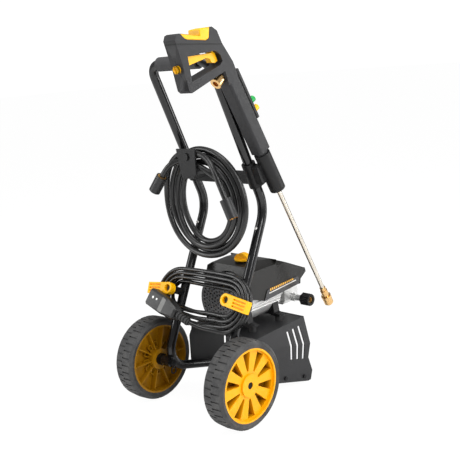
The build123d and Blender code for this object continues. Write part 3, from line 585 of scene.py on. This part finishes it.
CORD_R = 4.75
LEAD = [(58, -146, 297), (58, -127, 297), (54, -111, 301), (44, -98, 307), (28, -87.5, 311)]
CORD_TAIL = [(-64, -72.5, 43), (-36, -74, 58), (-10, -68.3, 64.6)]
HANK_TURNS, HANK_STEPS = 6.36, 26     # turns of the wound cord, and points on each
HANK_INNER, HANK_OUTER = 19.0, 35.0   # how far out the two layers of the hank lie


def hank_turn(turns):
    """The wound cord's line: three turns inwards near the legs, then three turns outwards over them."""
    ring = 3 - turns if turns < 3 else (turns - 3) * 0.95
    out = HANK_INNER + (HANK_OUTER - HANK_INNER) * smooth((turns - 2.85) / 0.5)
    left, right = 111 + ring * 10.9, 111 + ring * 13.3
    rise, drop = 22.5 + ring * 10.9, 28.75 + ring * 14.3
    bend, middle = (rise + drop) / 2, (rise - drop) / 2
    runs = [left - bend, pi * bend, left + right - 2 * bend, pi * bend, right - bend]
    along = (turns % 1.0) * sum(runs)
    leg = 0
    while along > runs[leg]:
        along -= runs[leg]
        leg += 1
    turn = along / bend
    x, up = [(-along, rise),
             (bend - left - bend * sin(turn), middle + bend * cos(turn)),
             (bend - left + along, -drop),
             (right - bend + bend * sin(turn), middle - bend * cos(turn)),
             (right - bend - along, rise)][leg]
    arch = 3.5 * cos(pi * x / 300)    # the long runs bow outwards a little between the posts
    return x, up + (arch if up > 0 else -arch - 1.3 * sin(x * 0.05 + ring)), out


def cord_route():
    """The power cord's line from the hood's gland, round the posts and into the plug's boot."""
    count = int(HANK_TURNS * HANK_STEPS)
    hank = [post_place(*hank_turn(HANK_TURNS * index / count)) for index in range(count + 1)]
    tail = [post_place(*point) for point in CORD_TAIL]
    return [place(point) for point in LEAD] + hank + tail


# ---------------------------------------------------------------- making

make_camera()
make_studio()
paints = make_paints()

for key, nodes in NODE_PAINTS.items():
    for node in nodes:
        target = frame["nodes"][node]
        target.data.materials.clear()
        target.data.materials.append(paints[key])

hose = cord_curve("pressure_hose", hose_route(), HOSE_R * MM, paints["hose"])
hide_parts("hose_coil", "hose_tails")
cord = cord_curve("mains_cord", cord_route(), CORD_R * MM, paints["cord"])
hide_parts("cord_hank", "power_cord")

plug_shell = softened("plug", 0.0028, paints["plug"])
softened("gun_body", 0.0008, paints["gun"], 2, first_round=0.0042)
for node, width, key in (("base", 0.0011, "saddle"), ("hood", 0.0022, "hood"),
                         ("lance_holster", 0.0022, "black"), ("hose_hanger", 0.0012, "black"),
                         ("cord_hook_left", 0.0011, "yellow"), ("cord_hook_right", 0.0011, "yellow"),
                         ("power_knob", 0.0018, "yellow"), ("trigger", 0.0025, "yellow"),
                         ("grip_inlay", 0.0022, "yellow"), ("pump_head", 0.0015, "head"),
                         ("cross_bracket", 0.0018, "black"), ("tip_rack", 0.0010, "black")):
    softened(node, width, paints[key])
# The lock button's rounded copy is drawn in by 0.2 mm, so that it slides clear of the gun's rounded shell.
lock = softened("trigger_lock", 0.0007, paints["yellow"], 2)
slack = lock.modifiers.new("slack", "DISPLACE")
slack.strength, slack.mid_level = -0.0002, 0.0

tuple(place(TAIL_A[0]))
tuple(place(LEAD[0]))

# The floor lights the machine like paper, and glows nearly white to the camera alone.
floor_mesh = bmesh.new()
bmesh.ops.create_grid(floor_mesh, x_segments=1, y_segments=1, size=30)
floor_data = bpy.data.meshes.new("floor")
floor_mesh.to_mesh(floor_data)
floor_mesh.free()
floor = bpy.data.objects.new("floor", floor_data)
bpy.context.collection.objects.link(floor)
floor_paint = Paint("floor_paint")
floor_data.materials.append(floor_paint.finish((0.93, 0.93, 0.93), 0.8))
glow = floor_paint.node("ShaderNodeEmission", {}, {"Color": (1.0, 1.0, 1.0), "Strength": 1.05})
seen_share = floor_paint.node("ShaderNodeLightPath", {}, {}, "Is Camera Ray") * 0.92
floor_mix = floor_paint.node("ShaderNodeMixShader", {},
                             {0: seen_share, 1: Tap(floor_paint, floor_paint.shader.outputs[0]), 2: glow})
floor_paint.tree.links.new(floor_mix.socket, floor_paint.tree.nodes["Material Output"].inputs["Surface"])
